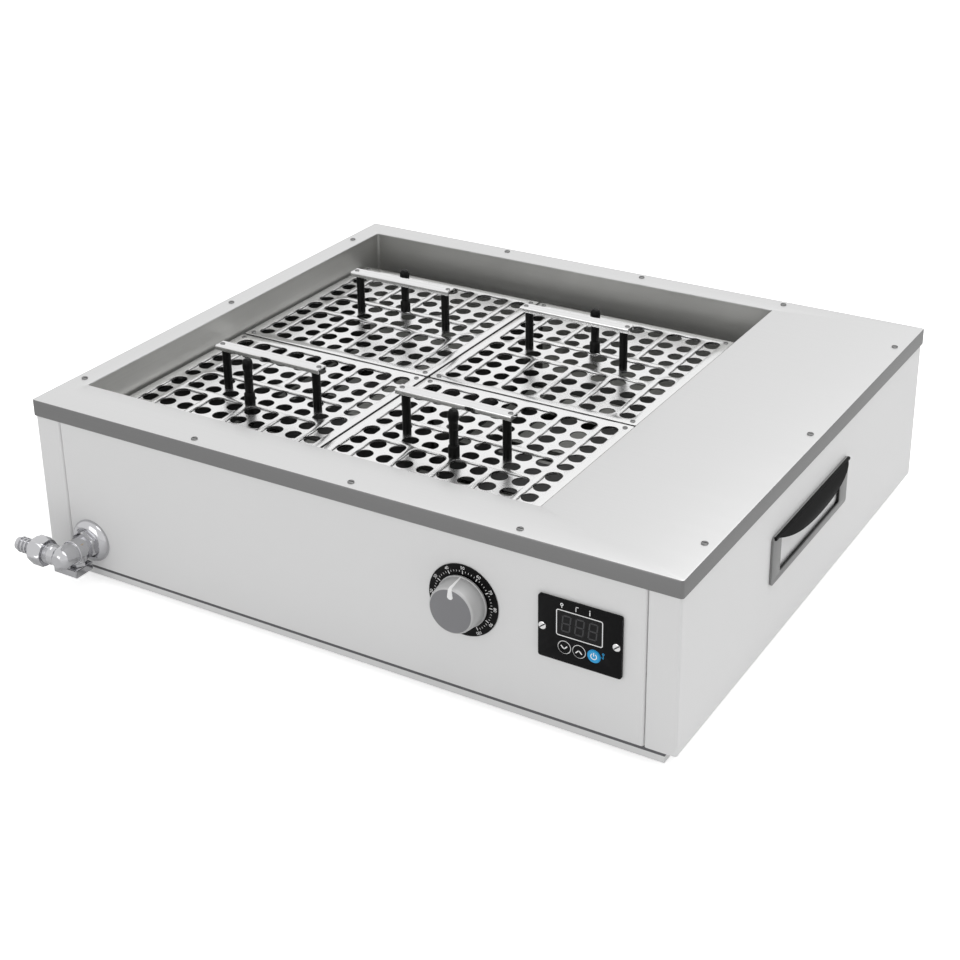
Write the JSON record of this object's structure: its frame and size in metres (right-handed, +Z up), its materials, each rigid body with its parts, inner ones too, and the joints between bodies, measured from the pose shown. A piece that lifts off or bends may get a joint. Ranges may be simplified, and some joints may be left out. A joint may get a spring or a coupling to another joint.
{
  "type": "serological water bath",
  "caption": "Low rectangular laboratory water bath with lift-out perforated tube racks, a dial thermostat, a digital controller, side grips and a drain cock.",
  "frame": {"origin": "middle of the overall footprint at bench level, under the feet", "axes": "+X to the controller side (the right of someone facing the dial), -Y out of the front panel, +Z up"},
  "size_m": [0.7208, 0.6564, 0.205],
  "materials": {
    "brushed": "brushed",
    "bright": "polished sheet",
    "casing": "fine powder coat",
    "zinc": "zinc plated",
    "chrome": "polished chrome",
    "black": "moulded",
    "gloss_black": "gloss",
    "knob": "satin",
    "white": "satin",
    "grey_frame": "satin",
    "blue_key": "gloss",
    "display": "gloss",
    "rubber": "moulded",
    "wool": "mineral wool",
    "sheath": "drawn tube",
    "brass": "turned"
  },
  "bodies": {
    "bath": {"top_cover": "brushed", "front_panel": "casing", "back_panel": "casing", "right_side_panel": "casing", "left_side_panel": "casing", "base_tray": "zinc", "rubber_feet": "rubber", "bath_tank": "brushed", "insulation_jacket": "wool", "heater_rods": "sheath", "heater_guard": "brushed", "temperature_probe": "sheath", "thermostat_body": "zinc", "thermostat_bulb": "sheath", "dial_plate": "black", "controller_fascia": "gloss_black", "controller_case": "black", "display_window": "display", "partition_plate": "zinc", "power_relay": "black", "mains_inlet": "black", "drain_escutcheon": "chrome", "drain_bulkhead": "chrome", "drain_valve_body": "chrome", "drain_bonnet": "chrome", "drain_union_nut": "chrome", "drain_hose_barb": "chrome", "right_handle_frame": "grey_frame", "left_handle_frame": "grey_frame", "right_handle_grip": "black", "left_handle_grip": "black"},
    "dial": {"dial_knob": "knob", "knob_pointer": "white", "thermostat_shaft": "zinc"},
    "drain_cock": {"drain_lever": "chrome", "drain_plug": "brass"},
    "down_key": {"key_down": "gloss_black"},
    "up_key": {"key_up": "gloss_black"},
    "power_key": {"key_power": "blue_key"},
    "rack_front_left": {"rack_front_left_frame": "bright", "rack_front_left_tube_plate": "bright", "rack_front_left_stand": "bright", "rack_front_left_handle_bar": "bright", "rack_front_left_pillars": "black"},
    "rack_front_right": {"rack_front_right_frame": "bright", "rack_front_right_tube_plate": "bright", "rack_front_right_stand": "bright", "rack_front_right_handle_bar": "bright", "rack_front_right_pillars": "black"},
    "rack_back_left": {"rack_back_left_frame": "bright", "rack_back_left_tube_plate": "bright", "rack_back_left_stand": "bright", "rack_back_left_handle_bar": "bright", "rack_back_left_pillars": "black"},
    "rack_back_right": {"rack_back_right_frame": "bright", "rack_back_right_tube_plate": "bright", "rack_back_right_stand": "bright", "rack_back_right_handle_bar": "bright", "rack_back_right_pillars": "black"}
  },
  "joints": [
    {"name": "dial_turn", "type": "hinge", "parent": "bath", "child": "dial", "pos_m": [0.1435, -0.27265, 0.1085], "axis": [0, 1, 0], "range_deg": [-150, 150]},
    {"name": "drain_turn", "type": "hinge", "parent": "bath", "child": "drain_cock", "pos_m": [-0.291, -0.29465, 0.03], "axis": [0, 0, 1], "range_deg": [0, 90]},
    {"name": "down_press", "type": "slide", "parent": "bath", "child": "down_key", "axis": [0, 1, 0], "range_m": [0, 0.0006], "stiffness_N_per_m": 1000, "springref_m": -0.0006},
    {"name": "up_press", "type": "slide", "parent": "bath", "child": "up_key", "axis": [0, 1, 0], "range_m": [0, 0.0006], "stiffness_N_per_m": 1000, "springref_m": -0.0006},
    {"name": "power_press", "type": "slide", "parent": "bath", "child": "power_key", "axis": [0, 1, 0], "range_m": [0, 0.0006], "stiffness_N_per_m": 1000, "springref_m": -0.0006},
    {"name": "rack_front_left_lift", "type": "slide", "parent": "bath", "child": "rack_front_left", "axis": [0, 0, 1], "range_m": [0, 0.14]},
    {"name": "rack_front_right_lift", "type": "slide", "parent": "bath", "child": "rack_front_right", "axis": [0, 0, 1], "range_m": [0, 0.14]},
    {"name": "rack_back_left_lift", "type": "slide", "parent": "bath", "child": "rack_back_left", "axis": [0, 0, 1], "range_m": [0, 0.14]},
    {"name": "rack_back_right_lift", "type": "slide", "parent": "bath", "child": "rack_back_right", "axis": [0, 0, 1], "range_m": [0, 0.14]}
  ]
}
